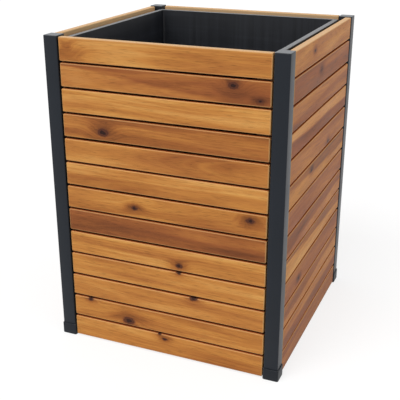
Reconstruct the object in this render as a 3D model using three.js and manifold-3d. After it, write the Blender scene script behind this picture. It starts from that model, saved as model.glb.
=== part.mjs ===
// Square garden planter: four steel corner posts with plastic caps and feet, a wall of
// thirteen wooden slats between each pair of posts, a slatted base on a steel ring, and
// a plastic liner that lifts out. Millimetres, +Z up, front wall towards -Y.
// The origin is on the ground, under the middle of the planter.
import * as THREE from 'three';
import { mergeVertices } from 'three/addons/utils/BufferGeometryUtils.js';
import Module from 'manifold-3d';

const wasm = await Module();
wasm.setup();

// Corner posts: square steel tube
const frameWidth = 500;        // outer face of one post to the outer face of the next
const postSize = 30;
const postWall = 1.5;
const postCornerRadius = 2;

// Walls: horizontal slats screwed to upright battens behind them
const slatCount = 13;
const slatHeight = 46.5;
const slatGap = 4.5;
const slatThickness = 14;
const slatEdgeRadius = 1.5;
const slatEndGap = 3;          // between a slat's end and the post
const slatRecess = 1;          // how far the slats lie behind the post's face
const groundGap = 3;           // under the lowest slat
const battenWidth = 35;
const battenSetback = 3;       // the battens stop this far short of the post's inner face
const battenDrop = 12;         // from the top of the wall down to the batten's top

// Caps and feet: moulded plastic
const capRise = 1.5;           // the cap's top above the top of the wall
const capHeadHeight = 2;
const capStemLength = 14;
const plasticFit = 0.3;        // gap between the steel tube and the plastic round or in it
const footHeight = 25;
const footWall = 1.5;
const footFloor = 3;

// Base: a ring of steel flats that carries loose boards
const railGap = 3;             // between a foot's top and the ring
const railHeight = 20;
const railDepth = 25;
const boardCount = 5;
const boardThickness = 12;
const boardGap = 10;
const boardFit = 1;            // between the boards and the posts or battens beside them

// Liner: a plastic tub with a flat rim that turns down at its edge
const linerFit = 2;            // between the rim and the battens
const linerPostFit = 1;        // between the rim's corner and the post
const linerWall = 2;
const rimDrop = 5.5;           // from the top of the wall down to the rim
const rimWidth = 9;
const rimThickness = 1.5;
const rimLipHeight = 8;
const rimCornerRadius = 8;
const tubCornerRadius = 6;
const drainDiameter = 12;
const drainReach = 130;        // from the middle of the floor to a drain hole, along the boards
const drainSides = 16;

// Worked out from the sizes above
const half = frameWidth / 2;
const postInner = half - postSize;
const postCentre = half - postSize / 2;
const slatPitch = slatHeight + slatGap;
const wallHeight = slatCount * slatPitch - slatGap;
const wallTop = groundGap + wallHeight;
const slatLength = 2 * (postInner - slatEndGap);
const slatDepth = half - slatRecess - slatThickness / 2;
const battenOuter = half - slatRecess - slatThickness;
const battenInner = postInner + battenSetback;
const battenThickness = battenOuter - battenInner;
const battenDepth = (battenOuter + battenInner) / 2;
const battenBottom = footHeight + railGap;
const battenTop = wallTop - battenDrop;
const postTop = wallTop + capRise - capHeadHeight;
const railTop = battenBottom + railHeight;
const boardTop = railTop + boardThickness;
const boardSpan = 2 * (Math.min(postInner, battenInner) - boardFit);
const boardWidth = (boardSpan - (boardCount - 1) * boardGap) / boardCount;
const boardPitch = boardWidth + boardGap;
const drainGapPlace = (boardCount / 2 - 1) * boardPitch;   // the outer gap between two boards
const cornerSlack = 1 - Math.SQRT1_2;   // share of a radius that a round corner gives up
const rimHalf = Math.min(
  battenInner - linerFit,
  postInner + rimCornerRadius * cornerSlack - linerPostFit * Math.SQRT1_2,
);
const tubHalf = rimHalf - rimWidth;
const rimTop = wallTop - rimDrop;

const finishes = {
  steel: { color: '#34373b', roughness: 0.5, metalness: 0.1 },
  plastic: { color: '#26282b', roughness: 0.55, metalness: 0 },
  liner: { color: '#2a2c30', roughness: 0.5, metalness: 0 },
  bareWood: { color: '#a97a4e', roughness: 0.8, metalness: 0 },
};
const slatColours = ['#c1874b', '#a96a3c', '#c99a5c', '#8c4f30', '#b67640'];

// A closed rectangle with round corners, centred on the origin
function roundedRectangle(width, height, radius) {
  const shape = new THREE.Shape();
  const x = width / 2 - radius;
  const y = height / 2 - radius;
  shape.absarc(x, y, radius, 0, Math.PI / 2);
  shape.absarc(-x, y, radius, Math.PI / 2, Math.PI);
  shape.absarc(-x, -y, radius, Math.PI, 1.5 * Math.PI);
  shape.absarc(x, -y, radius, 1.5 * Math.PI, 2 * Math.PI);
  return shape;
}

// The shape drawn in X and Y, raised from one height to another
function raise(shape, from, to, curveSegments = 4) {
  const geometry = new THREE.ExtrudeGeometry(shape, {
    depth: to - from,
    bevelEnabled: false,
    curveSegments,
  });
  return geometry.translate(0, 0, from);
}

function box(width, depth, height) {
  return new THREE.BoxGeometry(width, depth, height);
}

// Geometry to solid and back, for pieces that are cut or joined
function solid(geometry) {
  const bare = geometry.clone();
  bare.deleteAttribute('normal');
  bare.deleteAttribute('uv');
  const merged = mergeVertices(bare, 1e-4);
  return new wasm.Manifold(new wasm.Mesh({
    numProp: 3,
    vertProperties: new Float32Array(merged.attributes.position.array),
    triVerts: new Uint32Array(merged.index.array),
  }));
}

function geometryOf(manifold) {
  const mesh = manifold.getMesh();
  const geometry = new THREE.BufferGeometry();
  geometry.setAttribute('position', new THREE.BufferAttribute(mesh.vertProperties, 3));
  geometry.setIndex(new THREE.BufferAttribute(mesh.triVerts, 1));
  geometry.computeVertexNormals();
  return geometry;
}

function piece(name, geometry, finish) {
  const mesh = new THREE.Mesh(geometry, new THREE.MeshStandardMaterial(finish));
  mesh.name = name;
  return mesh;
}

// Walls
function slatGeometry() {
  const section = roundedRectangle(slatThickness, slatHeight, slatEdgeRadius);
  const slat = raise(section, -slatLength / 2, slatLength / 2, 2);
  // The section's X becomes the wall's depth and its Y the height
  return slat.applyMatrix4(new THREE.Matrix4().set(
    0, 0, 1, 0,
    1, 0, 0, 0,
    0, 1, 0, 0,
    0, 0, 0, 1,
  ));
}

function slatColour(index) {
  return slatColours[(index * 3) % slatColours.length];
}

// Slat 1 is the top one
function slatCentreHeight(index) {
  return wallTop - slatHeight / 2 - (index - 1) * slatPitch;
}

const battenPlaces = [-(postInner - battenWidth / 2), 0, postInner - battenWidth / 2];
const battenHeight = battenTop - battenBottom;
const battenCentreHeight = (battenTop + battenBottom) / 2;

// A wall of separate slats and battens, built as the front wall
function looseWall(side, battenNames) {
  const wall = new THREE.Group();
  for (let index = 1; index <= slatCount; index += 1) {
    const name = `${side}_slat_${String(index).padStart(2, '0')}`;
    const slat = piece(name, slatGeometry(), { color: slatColour(index), roughness: 0.6 });
    slat.position.set(0, -slatDepth, slatCentreHeight(index));
    wall.add(slat);
  }
  battenPlaces.forEach((place, index) => {
    const geometry = box(battenWidth, battenThickness, battenHeight);
    const batten = piece(`${side}_batten_${battenNames[index]}`, geometry, finishes.bareWood);
    batten.position.set(place, -battenDepth, battenCentreHeight);
    wall.add(batten);
  });
  return wall;
}

// The same wall with its slats and battens joined into one piece
function joinedWall(side) {
  const joint = slatThickness / 2;   // the battens reach this far into the slats before joining
  let wall = null;
  for (let index = 1; index <= slatCount; index += 1) {
    const slat = slatGeometry().translate(0, -slatDepth, slatCentreHeight(index));
    wall = wall ? wall.add(solid(slat)) : solid(slat);
  }
  for (const place of battenPlaces) {
    const batten = box(battenWidth, battenThickness + joint, battenHeight);
    batten.translate(place, -battenDepth - joint / 2, battenCentreHeight);
    wall = wall.add(solid(batten));
  }
  const group = new THREE.Group();
  group.add(piece(`${side}_panel`, geometryOf(wall), { color: slatColour(1), roughness: 0.6 }));
  return group;
}

// Corners
function postGeometry() {
  const section = roundedRectangle(postSize, postSize, postCornerRadius);
  const boreSize = postSize - 2 * postWall;
  const boreRadius = Math.max(postCornerRadius - postWall, 0.25);
  section.holes.push(roundedRectangle(boreSize, boreSize, boreRadius));
  return raise(section, footFloor, postTop);
}

function capGeometry() {
  const head = roundedRectangle(postSize, postSize, postCornerRadius);
  const stemSize = postSize - 2 * postWall - 2 * plasticFit;
  const stem = roundedRectangle(stemSize, stemSize, postCornerRadius / 2);
  const headSolid = solid(raise(head, postTop, postTop + capHeadHeight));
  const stemSolid = solid(raise(stem, postTop - capStemLength, postTop + capHeadHeight / 2));
  return geometryOf(headSolid.add(stemSolid));
}

function footGeometry() {
  const socketSize = postSize + 2 * plasticFit;
  const outerSize = socketSize + 2 * footWall;
  const outer = roundedRectangle(outerSize, outerSize, postCornerRadius + footWall);
  const socket = roundedRectangle(socketSize, socketSize, postCornerRadius);
  const cup = solid(raise(outer, 0, footHeight));
  return geometryOf(cup.subtract(solid(raise(socket, footFloor, footHeight + footFloor))));
}

function corners() {
  const group = new THREE.Group();
  for (const [y, front] of [[-1, 'front'], [1, 'back']]) {
    for (const [x, left] of [[-1, 'left'], [1, 'right']]) {
      const place = `${front}_${left}`;
      const pieces = [
        piece(`post_${place}`, postGeometry(), finishes.steel),
        piece(`post_cap_${place}`, capGeometry(), finishes.plastic),
        piece(`foot_${place}`, footGeometry(), finishes.plastic),
      ];
      for (const part of pieces) {
        part.position.set(x * postCentre, y * postCentre, 0);
        group.add(part);
      }
    }
  }
  return group;
}

// Base
function baseRing() {
  const group = new THREE.Group();
  const railCentre = battenInner - railDepth / 2;
  const height = battenBottom + railHeight / 2;
  const crossLength = 2 * postInner;
  const sideLength = 2 * (battenInner - railDepth);
  for (const [sign, name] of [[-1, 'front'], [1, 'back']]) {
    const rail = piece(`base_rail_${name}`, box(crossLength, railDepth, railHeight), finishes.steel);
    rail.position.set(0, sign * railCentre, height);
    group.add(rail);
  }
  for (const [sign, name] of [[-1, 'left'], [1, 'right']]) {
    const rail = piece(`base_rail_${name}`, box(railDepth, sideLength, railHeight), finishes.steel);
    rail.position.set(sign * railCentre, 0, height);
    group.add(rail);
  }
  return group;
}

function baseBoards() {
  const group = new THREE.Group();
  const boardLength = 2 * (battenInner - boardFit);
  for (let index = 0; index < boardCount; index += 1) {
    const geometry = box(boardWidth, boardLength, boardThickness);
    const board = piece(`base_board_${index + 1}`, geometry, finishes.bareWood);
    const place = (index - (boardCount - 1) / 2) * boardPitch;
    board.position.set(place, 0, railTop + boardThickness / 2);
    group.add(board);
  }
  return group;
}

// Liner: outer shell, less its inside, with the rim and its lip added
function liner() {
  const square = (halfWidth, radius) => roundedRectangle(2 * halfWidth, 2 * halfWidth, radius);
  const tub = solid(raise(square(tubHalf, tubCornerRadius), boardTop, rimTop));
  const flange = solid(raise(square(rimHalf, rimCornerRadius), rimTop - rimLipHeight, rimTop));
  const lipInside = square(rimHalf - rimThickness, rimCornerRadius - rimThickness);
  const underFlange = solid(raise(lipInside, rimTop - 2 * rimLipHeight, rimTop - rimThickness));
  const inside = square(tubHalf - linerWall, tubCornerRadius - linerWall);
  const hollow = solid(raise(inside, boardTop + linerWall, rimTop + rimLipHeight));
  let shell = flange.subtract(underFlange).add(tub).subtract(hollow);
  for (const [x, y] of [[1, 1], [1, -1], [-1, 1], [-1, -1]]) {
    const drain = new THREE.CylinderGeometry(
      drainDiameter / 2, drainDiameter / 2, 4 * linerWall, drainSides,
    ).rotateX(Math.PI / 2);
    drain.translate(x * drainGapPlace, y * drainReach, boardTop + linerWall / 2);
    shell = shell.subtract(solid(drain));
  }
  return piece('liner', geometryOf(shell), finishes.liner);
}

const planter = new THREE.Group();
const rightWall = looseWall('right', ['front', 'middle', 'back']);
rightWall.rotation.z = Math.PI / 2;
const backWall = joinedWall('back');
backWall.rotation.z = Math.PI;
const leftWall = joinedWall('left');
leftWall.rotation.z = -Math.PI / 2;
planter.add(
  corners(),
  looseWall('front', ['left', 'middle', 'right']),
  rightWall,
  backWall,
  leftWall,
  baseRing(),
  baseBoards(),
  liner(),
);

export default planter;
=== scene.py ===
# %% [markdown]
# A square garden planter with slatted wooden walls
#
# The planter has four steel corner posts, a wall of thirteen oiled acacia slats between
# each pair of posts, and a black plastic liner that lifts out. The measured model comes in
# first and stays as it is. Everything made below takes its size and place from it.

# %% Load the measured model
import math
import random

import bmesh
import bpy
from mathutils import Matrix, Vector


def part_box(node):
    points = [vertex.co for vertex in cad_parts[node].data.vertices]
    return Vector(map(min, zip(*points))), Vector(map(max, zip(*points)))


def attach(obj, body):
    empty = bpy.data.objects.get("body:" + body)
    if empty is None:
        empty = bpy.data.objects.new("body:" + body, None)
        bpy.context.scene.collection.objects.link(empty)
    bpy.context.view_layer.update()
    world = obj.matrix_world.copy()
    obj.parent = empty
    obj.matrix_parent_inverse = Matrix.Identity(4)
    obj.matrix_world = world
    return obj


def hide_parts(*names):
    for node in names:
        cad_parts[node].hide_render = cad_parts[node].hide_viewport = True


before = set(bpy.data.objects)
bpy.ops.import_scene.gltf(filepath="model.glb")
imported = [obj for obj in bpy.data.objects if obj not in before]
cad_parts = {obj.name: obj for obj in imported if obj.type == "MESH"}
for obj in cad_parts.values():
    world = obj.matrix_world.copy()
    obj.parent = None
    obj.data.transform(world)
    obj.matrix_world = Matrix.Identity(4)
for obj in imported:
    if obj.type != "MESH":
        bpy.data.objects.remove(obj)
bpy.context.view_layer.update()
MM = 0.001

# %% [markdown]
# Colours, nodes and objects
#
# A colour is easiest to choose as the sRGB hex value that a screen shows, but shaders
# work on linear light, so one function turns the first into the second. Node trees are
# long to write by hand. One small function adds a node, sets its values and links it, and
# it serves the shader trees and the geometry trees alike. A new object belongs to no scene
# yet, so a third function links it to this one.

# %% Three helpers
def linear(hex_colour):
    """The linear RGBA of an sRGB colour written as #rrggbb."""
    shares = [int(hex_colour[i:i + 2], 16) / 255 for i in (1, 3, 5)]
    return [s / 12.92 if s <= 0.04045 else ((s + 0.055) / 1.055) ** 2.4 for s in shares] + [1.0]


def add(tree, kind, inputs=(), **settings):
    """Adds a node. An input takes a value, a socket, or a node whose first output feeds it."""
    made = tree.nodes.new(kind)
    for name, value in settings.items():
        setattr(made, name, value)
    pairs = inputs.items() if isinstance(inputs, dict) else enumerate(inputs)
    for key, value in pairs:
        if isinstance(value, bpy.types.Node):
            value = next(output for output in value.outputs if output.enabled)
        if isinstance(value, bpy.types.NodeSocket):
            tree.links.new(value, made.inputs[key])
        else:
            made.inputs[key].default_value = value
    return made


def in_scene(name, data):
    """A new object with that data, linked to the scene."""
    made = bpy.data.objects.new(name, data)
    bpy.context.scene.collection.objects.link(made)
    return made


# Most of a noise lies between these
noise_span = {"From Min": 0.3, "From Max": 0.7}
print("middle grey is", [round(c, 3) for c in linear("#808080")])

# %% [markdown]
# The camera
#
# The view is from the front, turned a little to the right, and from above, so that the
# rim of the liner shows. A focal length of about 70 mm keeps the upright posts leaning in
# only a little towards the ground. Lens and distance belong together: a longer lens from
# further off would flatten the walls.

# %% Place the camera
def direction(azimuth, elevation):
    """The way towards a point that far round from the front and that high, in degrees."""
    turn, rise = math.radians(azimuth), math.radians(elevation)
    return Vector((math.sin(turn) * math.cos(rise), -math.cos(turn) * math.cos(rise), math.sin(rise)))


camera_target = Vector((0.081, -0.25, 0.369))
camera_distance = 1.483
towards_camera = direction(azimuth=22.85, elevation=21.46)

camera_data = bpy.data.cameras.new("camera")
camera_data.lens = 69.4
camera_data.sensor_width = 36
camera = in_scene("camera", camera_data)
bpy.context.scene.camera = camera
camera.location = camera_target + towards_camera * camera_distance
camera.rotation_euler = (-towards_camera).to_track_quat("-Z", "Y").to_euler()
print("camera at", [round(c, 3) for c in camera.location])

# %% [markdown]
# Light
#
# A product picture on white has light from all sides and one soft main light from above.
# Lamps alone would leave the dark coating black, because it mostly shows what it reflects.
# So the world gives the even part. Rays from the camera and from glossy surfaces see it as
# full white, while the walls get less, so their colours come out as written. A wide sun
# from the front left and above adds the direction, which draws the pale line along each
# slat's upper edge. A much weaker one from the right lifts the wall on that side.

# %% Light the scene
def white_world(even_light):
    world = bpy.data.worlds.new("studio")
    world.use_nodes = True
    tree = world.node_tree
    tree.nodes.clear()
    path = add(tree, "ShaderNodeLightPath").outputs
    seen = path["Is Camera Ray"]
    for ray in ("Is Glossy Ray", "Is Transmission Ray"):
        seen = add(tree, "ShaderNodeMath", (seen, path[ray]), operation="MAXIMUM")
    level = add(tree, "ShaderNodeMapRange", {"Value": seen, "To Min": even_light, "To Max": 1.0})
    background = add(tree, "ShaderNodeBackground", {"Color": linear("#ffffff"), "Strength": level})
    add(tree, "ShaderNodeOutputWorld", {"Surface": background})
    bpy.context.scene.world = world


def sun(name, azimuth, elevation, strength, spread):
    """A sun lamp that shines from that side of the planter. Spread is its width in degrees."""
    data = bpy.data.lights.new(name, "SUN")
    data.energy = strength
    data.angle = math.radians(spread)
    lamp = in_scene(name, data)
    lamp.rotation_euler = (-direction(azimuth, elevation)).to_track_quat("-Z", "Y").to_euler()


white_world(even_light=0.6)
sun("main_light", azimuth=-20, elevation=50, strength=1.5, spread=35)
sun("side_light", azimuth=75, elevation=40, strength=0.3, spread=60)
bpy.context.scene.view_settings.view_transform = "Standard"

# %% [markdown]
# The floor
#
# The planter stands on white paper, which throws much light back up at the walls. Under
# plain light the paper would come out grey, and more light would wash out the wood. So for
# the camera and for reflections, most of the paper's colour is swapped for light of its
# own. That brings it up to the white of the backdrop and keeps only a faint shadow, enough
# to show that the feet touch the ground. Right under the planter the paper keeps its plain
# shade, or it would shine through the drain holes.

# %% Lay the floor
def new_material(name):
    """An empty material, and its node tree."""
    material = bpy.data.materials.new(name)
    material.use_nodes = True
    material.node_tree.nodes.clear()
    return material, material.node_tree


def paper(name, colour, seen_colour, own_light, dark_half, fade):
    """Paper that is brighter to the eye, except in a square of that half width."""
    material, tree = new_material(name)
    place = add(tree, "ShaderNodeTexCoord").outputs["Object"]
    place = add(tree, "ShaderNodeVectorMath", (place,), operation="ABSOLUTE")
    place = add(tree, "ShaderNodeSeparateXYZ", (place,)).outputs
    reach = add(tree, "ShaderNodeMath", (place["X"], place["Y"]), operation="MAXIMUM")
    clear = add(tree, "ShaderNodeMapRange", {
        "Value": reach, "From Min": dark_half - fade, "From Max": dark_half,
    })
    path = add(tree, "ShaderNodeLightPath").outputs
    seen = add(tree, "ShaderNodeMath", (
        path["Is Camera Ray"], path["Is Glossy Ray"],
    ), operation="MAXIMUM")
    seen = add(tree, "ShaderNodeMath", (seen, clear), operation="MULTIPLY")
    glow = add(tree, "ShaderNodeMath", (seen, own_light), operation="MULTIPLY")
    light = add(tree, "ShaderNodeEmission", {"Color": linear("#ffffff"), "Strength": glow})
    tint = add(tree, "ShaderNodeMix", {
        0: seen, 6: linear(colour), 7: linear(seen_colour),
    }, data_type="RGBA")
    sheet = add(tree, "ShaderNodeBsdfDiffuse", {"Color": tint})
    both = add(tree, "ShaderNodeAddShader", (sheet, light))
    add(tree, "ShaderNodeOutputMaterial", {"Surface": both})
    return material


def lay_floor(width, material):
    half = width / 2
    corners = [(-half, -half, 0), (half, -half, 0), (half, half, 0), (-half, half, 0)]
    data = bpy.data.meshes.new("floor")
    data.from_pydata(corners, [], [(0, 1, 2, 3)])
    data.materials.append(material)
    in_scene("floor", data)


post_low, post_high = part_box("post_front_right")
post_reach = (post_low.x + post_high.x) / 2
lay_floor(width=40, material=paper(
    "white_paper", "#f4f4f4", seen_colour="#959595", own_light=0.74, dark_half=post_reach,
    fade=30 * MM))
print("paper stays plain within", round(post_reach / MM, 1), "mm of the middle")

# %% [markdown]
# A blank: one planed piece of wood
#
# Slats, battens and boards are planed blocks whose edges were run over with sandpaper or a
# small round cutter. A plain box would look like a paper model, because no edge of it
# catches the light, so every edge gets a bevel. The block is also cut into short lengths,
# so that it can bow a little later on. Each point stores where it lies in the piece: along
# the grain, through the thickness and across the width. The wood's pattern reads that, so
# the grain follows each piece whichever way the piece is turned.

# %% Make blanks
# Faces that differ by more than this meet in an edge. Below it they are one curved surface.
sharp_from = math.radians(32)


def mesh_from(bm, name):
    """A mesh of what the bmesh holds. The bmesh is freed."""
    data = bpy.data.meshes.new(name)
    bm.to_mesh(data)
    bm.free()
    return data


def wood_blank(name, length, thickness, width, edge_radius, turned=Matrix(), cuts=12):
    """A block centred on the origin, its grain along X, or turned from there by a matrix."""
    bm = bmesh.new()
    bmesh.ops.create_cube(bm, size=1.0, matrix=Matrix.Diagonal((length, thickness, width, 1.0)))
    for step in range(1, cuts):
        place = (step / cuts - 0.5) * length
        parts = bm.verts[:] + bm.edges[:] + bm.faces[:]
        bmesh.ops.bisect_plane(bm, geom=parts, plane_co=(place, 0, 0), plane_no=(1, 0, 0))
    edges = [edge for edge in bm.edges if edge.calc_face_angle() > sharp_from]
    made = bmesh.ops.bevel(bm, geom=edges, offset=edge_radius, segments=3, profile=0.5, affect="EDGES")
    for face in made["faces"]:
        face.smooth = True
    data = mesh_from(bm, name)
    grain = data.attributes.new("grain", "FLOAT_VECTOR", "POINT")
    grain.data.foreach_set("vector", [c for vertex in data.vertices for c in vertex.co])
    data.transform(turned)
    return bpy.data.objects.new(name, data)


low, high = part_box("front_slat_01")
slat_length, slat_thickness, slat_height = high - low
slat_pitch = low.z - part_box("front_slat_02")[0].z
slat_start = (0.0, (low.y + high.y) / 2, (low.z + high.z) / 2)
slat_blank = wood_blank("slat_blank", slat_length, slat_thickness, slat_height, edge_radius=2.2 * MM)
print("slat in mm:", [round(s / MM, 1) for s in (slat_length, slat_thickness, slat_height)])

# %% [markdown]
# Rows of pieces with Geometry Nodes
#
# A wall is one slat again and again at a fixed step, and so are the battens behind it and
# the boards of the base. Copying them in a loop would work, but a node tree says it once: a
# line of points, the blank placed on each point, a number stored on each copy, and the
# whole row turned to its side of the planter. The numbers make each board different later
# on. Play moves each copy a little off its place, as on a wall that was screwed together by
# hand, and Bow bends it.

# %% Open and close a tree
def new_tree(name, **sockets):
    """A geometry tree with these named inputs, and the outputs of its input node."""
    tree = bpy.data.node_groups.new(name, "GeometryNodeTree")
    tree.interface.new_socket("Geometry", in_out="OUTPUT", socket_type="NodeSocketGeometry")
    for label, kind in sockets.items():
        tree.interface.new_socket(label, in_out="INPUT", socket_type="NodeSocket" + kind)
    return tree, add(tree, "NodeGroupInput").outputs


def close_tree(tree, geometry, material):
    """Ends a tree: copies become real geometry and take their material."""
    solid = add(tree, "GeometryNodeRealizeInstances", {"Geometry": geometry})
    finished = add(tree, "GeometryNodeSetMaterial", {"Geometry": solid, "Material": material})
    add(tree, "NodeGroupOutput", (finished,))
    return tree


print("trees so far:", len(bpy.data.node_groups))

# %% Build the row tree
# The noises that bend two neighbouring boards lie this far apart, so they bow differently
noise_gap = 3.7


def bowed(tree, row, amount):
    """Bends each board by a noise of its own, with waves about 250 mm long."""
    place = add(tree, "GeometryNodeInputPosition")
    board = add(tree, "GeometryNodeInputNamedAttribute", {"Name": "board"}, data_type="FLOAT")
    apart = add(tree, "ShaderNodeMath", (board, noise_gap), operation="MULTIPLY")
    noise = add(tree, "ShaderNodeTexNoise", {
        "Vector": place, "W": apart, "Scale": 4.0, "Detail": 0.0,
    }, noise_dimensions="4D").outputs["Color"]
    both_ways = add(tree, "ShaderNodeVectorMath", (noise, (0.5, 0.5, 0.5)), operation="SUBTRACT")
    bend = add(tree, "ShaderNodeVectorMath", {0: both_ways, "Scale": amount}, operation="SCALE")
    return add(tree, "GeometryNodeSetPosition", {"Geometry": row, "Offset": bend})


def row_tree():
    tree, given = new_tree(
        "row_of_pieces", Blank="Object", Count="Int", Start="Vector", Step="Vector", Turn="Float",
        First="Int", Seed="Int", Play="Float", Bow="Float", Finish="Material",
    )
    index = add(tree, "GeometryNodeInputIndex")
    number = add(tree, "ShaderNodeMath", (index, given["First"]), operation="ADD")
    line = add(tree, "GeometryNodeMeshLine", {
        "Count": given["Count"], "Start Location": given["Start"], "Offset": given["Step"],
    }, mode="OFFSET")
    # A slat may stand a full play proud of its batten, but hardly sinks into it
    limits = [
        add(tree, "ShaderNodeVectorMath", {0: reach, "Scale": given["Play"]}, operation="SCALE")
        for reach in ((-1.0, -1.0, -0.6), (1.0, 0.2, 0.6))
    ]
    nudge = add(tree, "FunctionNodeRandomValue", {
        0: limits[0], 1: limits[1], "ID": number, "Seed": given["Seed"],
    }, data_type="FLOAT_VECTOR")
    places = add(tree, "GeometryNodeSetPosition", {"Geometry": line, "Offset": nudge})
    blank = add(tree, "GeometryNodeObjectInfo", {"Object": given["Blank"]}).outputs["Geometry"]
    copies = add(tree, "GeometryNodeInstanceOnPoints", {"Points": places, "Instance": blank})
    numbered = add(tree, "GeometryNodeStoreNamedAttribute", {
        "Geometry": copies, "Name": "board", "Value": number,
    }, data_type="FLOAT", domain="INSTANCE")
    row = add(tree, "GeometryNodeRealizeInstances", {"Geometry": numbered})
    turn = add(tree, "ShaderNodeCombineXYZ", {"Z": given["Turn"]})
    turned = add(tree, "GeometryNodeTransform", {
        "Geometry": bowed(tree, row, given["Bow"]), "Rotation": turn,
    })
    return close_tree(tree, turned, given["Finish"])


rows = row_tree()
print("inputs:", [item.name for item in rows.interface.items_tree])

# %% Run a tree and keep its result as a plain mesh
def keep_result(piece):
    """Swaps the piece's mesh for what its modifiers make of it, and removes them."""
    depsgraph = bpy.context.evaluated_depsgraph_get()
    result = bpy.data.meshes.new_from_object(piece.evaluated_get(depsgraph), depsgraph=depsgraph)
    piece.modifiers.clear()
    piece.data = result
    result.name = piece.name


def run_tree(name, tree, values):
    """A new object whose mesh is what the tree makes with these named values."""
    piece = in_scene(name, bpy.data.meshes.new(name))
    modifier = piece.modifiers.new(name, "NODES")
    modifier.node_group = tree
    for item in tree.interface.items_tree:
        if item.in_out == "INPUT":
            modifier[item.identifier] = values[item.name]
    keep_result(piece)
    return piece


def seat(piece, body, nodes=()):
    """Makes the piece ride on its body and stand for its measured nodes, if any, which are hidden."""
    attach(piece, body)
    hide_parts(*nodes)
    print(piece.name, "has", len(piece.data.polygons), "faces and stands for", len(nodes), "nodes")


# %% [markdown]
# Oiled acacia: the log behind the board
#
# Acacia is a dense garden timber, planed and oiled. Its heartwood runs from golden tan
# to red-brown and dark chocolate, often within one board, and knots are common. A painted
# pattern could be laid on each face, but then the ends and edges wouldn't match it. Here
# each board is taken out of a log of its own: rings lie round a pith somewhere behind the
# board, and the board's surface cuts through them. Where it runs nearly along the rings
# they open into wide flames, and where it cuts across them they make narrow stripes.

# %% Find each point's place in its log
# The pith's lean, its depth behind the board's middle, and its height beside it
pith_least = Vector((-0.035, 18 * MM, -35 * MM))
pith_most = Vector((0.035, 58 * MM, 35 * MM))
trunk_wander = 13 * MM


def log_radius(tree, grain, board):
    """The distance from the pith, for a board whose pith is tilted and placed by its number."""
    chance = add(tree, "ShaderNodeTexWhiteNoise", {"W": board}, noise_dimensions="1D").outputs["Color"]
    pith = add(tree, "ShaderNodeVectorMath", (
        chance, pith_most - pith_least, pith_least,
    ), operation="MULTIPLY_ADD")
    pith = add(tree, "ShaderNodeSeparateXYZ", (pith,)).outputs
    along = add(tree, "ShaderNodeSeparateXYZ", (grain,)).outputs["X"]
    depth = add(tree, "ShaderNodeMath", (along, pith["X"], pith["Y"]), operation="MULTIPLY_ADD")
    centre = add(tree, "ShaderNodeCombineXYZ", {"Y": depth, "Z": pith["Z"]})
    flat = add(tree, "ShaderNodeVectorMath", (grain, (0.0, 1.0, 1.0), centre), operation="MULTIPLY_ADD")
    # The trunk isn't straight: it wanders in waves of about 250 mm
    slow = add(tree, "ShaderNodeVectorMath", (grain, (4.0, 12.0, 12.0)), operation="MULTIPLY")
    wander = add(tree, "ShaderNodeTexNoise", {
        "Vector": slow, "W": board, "Scale": 1.0, "Detail": 0.5,
    }, noise_dimensions="4D").outputs["Color"]
    bent = add(tree, "ShaderNodeVectorMath", (
        wander, (0.0, trunk_wander, trunk_wander), flat,
    ), operation="MULTIPLY_ADD")
    return add(tree, "ShaderNodeVectorMath", (bent,), operation="LENGTH").outputs["Value"]


print("pith between", pith_least.y / MM, "and", round(pith_most.y / MM), "mm behind a board")

# %% Find the knots
# Knots are drawn out along the grain, and they run straight through the board
knot_squeeze = (0.62, 0.0, 1.0)
knot_raggedness = (11 * MM, 0.0, 7 * MM)


def three_numbers(tree, attribute):
    """The three numbers that a board stores under that name."""
    stored = add(tree, "ShaderNodeAttribute", attribute_name=attribute).outputs["Vector"]
    return add(tree, "ShaderNodeSeparateXYZ", (stored,)).outputs


def knot_distance(tree, grain, attribute):
    """The distance from a board's knot in radii, whether it breaks the surface, its radius."""
    knot = three_numbers(tree, attribute)
    shows = add(tree, "ShaderNodeMath", (knot["Z"], 0.0), operation="GREATER_THAN")
    size = add(tree, "ShaderNodeMath", (knot["Z"],), operation="ABSOLUTE")
    size = add(tree, "ShaderNodeMath", (size, 0.1 * MM), operation="MAXIMUM")
    centre = add(tree, "ShaderNodeCombineXYZ", {"X": knot["X"], "Z": knot["Y"]})
    ragged = add(tree, "ShaderNodeTexNoise", {
        "Vector": grain, "Scale": 140.0, "Detail": 4.0, "Roughness": 0.65,
    }).outputs["Color"]
    shake = add(tree, "ShaderNodeVectorMath", (ragged, (0.5, 0.5, 0.5)), operation="SUBTRACT")
    shake = add(tree, "ShaderNodeVectorMath", (shake, knot_raggedness, grain), operation="MULTIPLY_ADD")
    offset = add(tree, "ShaderNodeVectorMath", (shake, centre), operation="SUBTRACT")
    oval = add(tree, "ShaderNodeVectorMath", (offset, knot_squeeze), operation="MULTIPLY")
    reach = add(tree, "ShaderNodeVectorMath", (oval,), operation="LENGTH").outputs["Value"]
    return add(tree, "ShaderNodeMath", (reach, size), operation="DIVIDE"), shows, size


print("a knot is", round(1 / knot_squeeze[0], 1), "times as long as wide")

# %% [markdown]
# Oiled acacia: how dark each point is
#
# Each point starts from the tone of its board. A knot pushes the rings apart, so it is
# added to the distance from the pith, and it darkens the wood round it. The colour drifts
# in slow patches, and some boards have a line between sapwood and heartwood, above which
# the tone changes. Then the rings are read at two scales, bands of 8 to 20 mm and streaks
# of 2 to 4 mm. Open pores are dark dashes along the grain. The real ones are under half a
# millimetre wide. They are drawn about 1 mm wide, or they wouldn't show in the picture.

# %% Set the tone
# A knot's effect falls off with the square of the distance. At its middle it pushes the
# rings out by so many of its radii, and darkens the wood by so much.
knot_falloff, knot_push, knot_darkening = 0.22, 1.6, 0.42
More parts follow.
